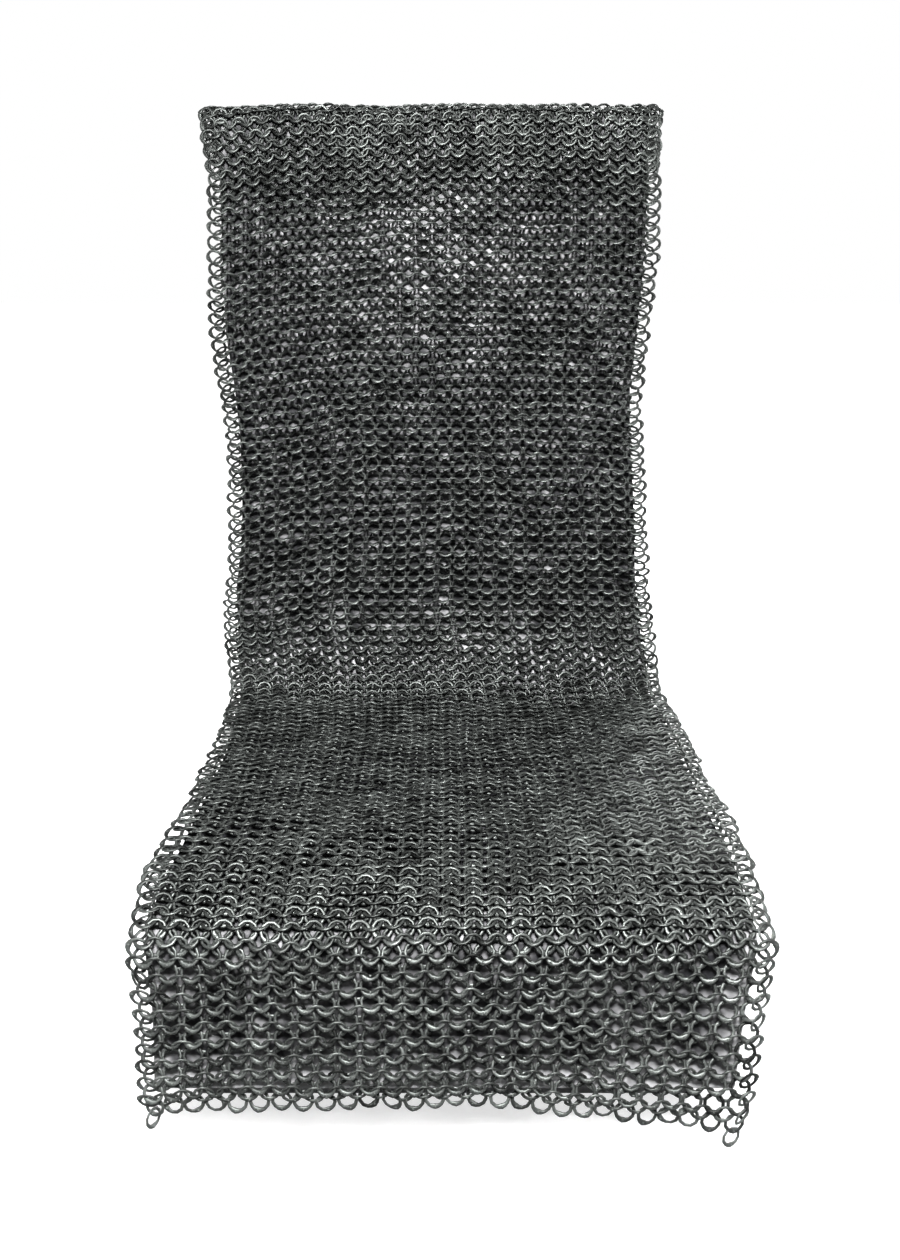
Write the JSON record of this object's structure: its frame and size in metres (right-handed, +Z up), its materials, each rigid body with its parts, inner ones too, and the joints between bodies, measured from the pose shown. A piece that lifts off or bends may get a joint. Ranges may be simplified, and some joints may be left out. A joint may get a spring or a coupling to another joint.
{
  "type": "chainmail skirt on a display stand",
  "caption": "Skirt of blackened riveted steel mail, opened out as one sheet and laid over a plain chair-shaped display stand, with its free end hanging down in front.",
  "frame": {"origin": "middle of the part's outline in plan, at the underside of the stand's base", "axes": "+Z up; -Y towards the front, where the skirt's hem hangs; +X to the right of someone who faces the front"},
  "size_m": [0.3956, 0.457, 0.67],
  "materials": {
    "mail": "blackened and oiled, worn pale on raised edges",
    "stand": "smooth satin off-white paint"
  },
  "bodies": {
    "root": {"mail_front_drop": "mail", "mail_front_bend": "mail", "mail_seat_front": "mail", "mail_seat_rear": "mail", "mail_crease": "mail", "mail_back_lower": "mail", "mail_back_middle": "mail", "mail_back_upper": "mail", "mail_top_turn": "mail", "mail_back_flap": "mail", "stand_back_board": "stand", "stand_seat_panel": "stand", "stand_cove": "stand", "stand_front_edge": "stand", "stand_rib_left": "stand", "stand_rib_right": "stand", "stand_base": "stand"}
  },
  "joints": []
}
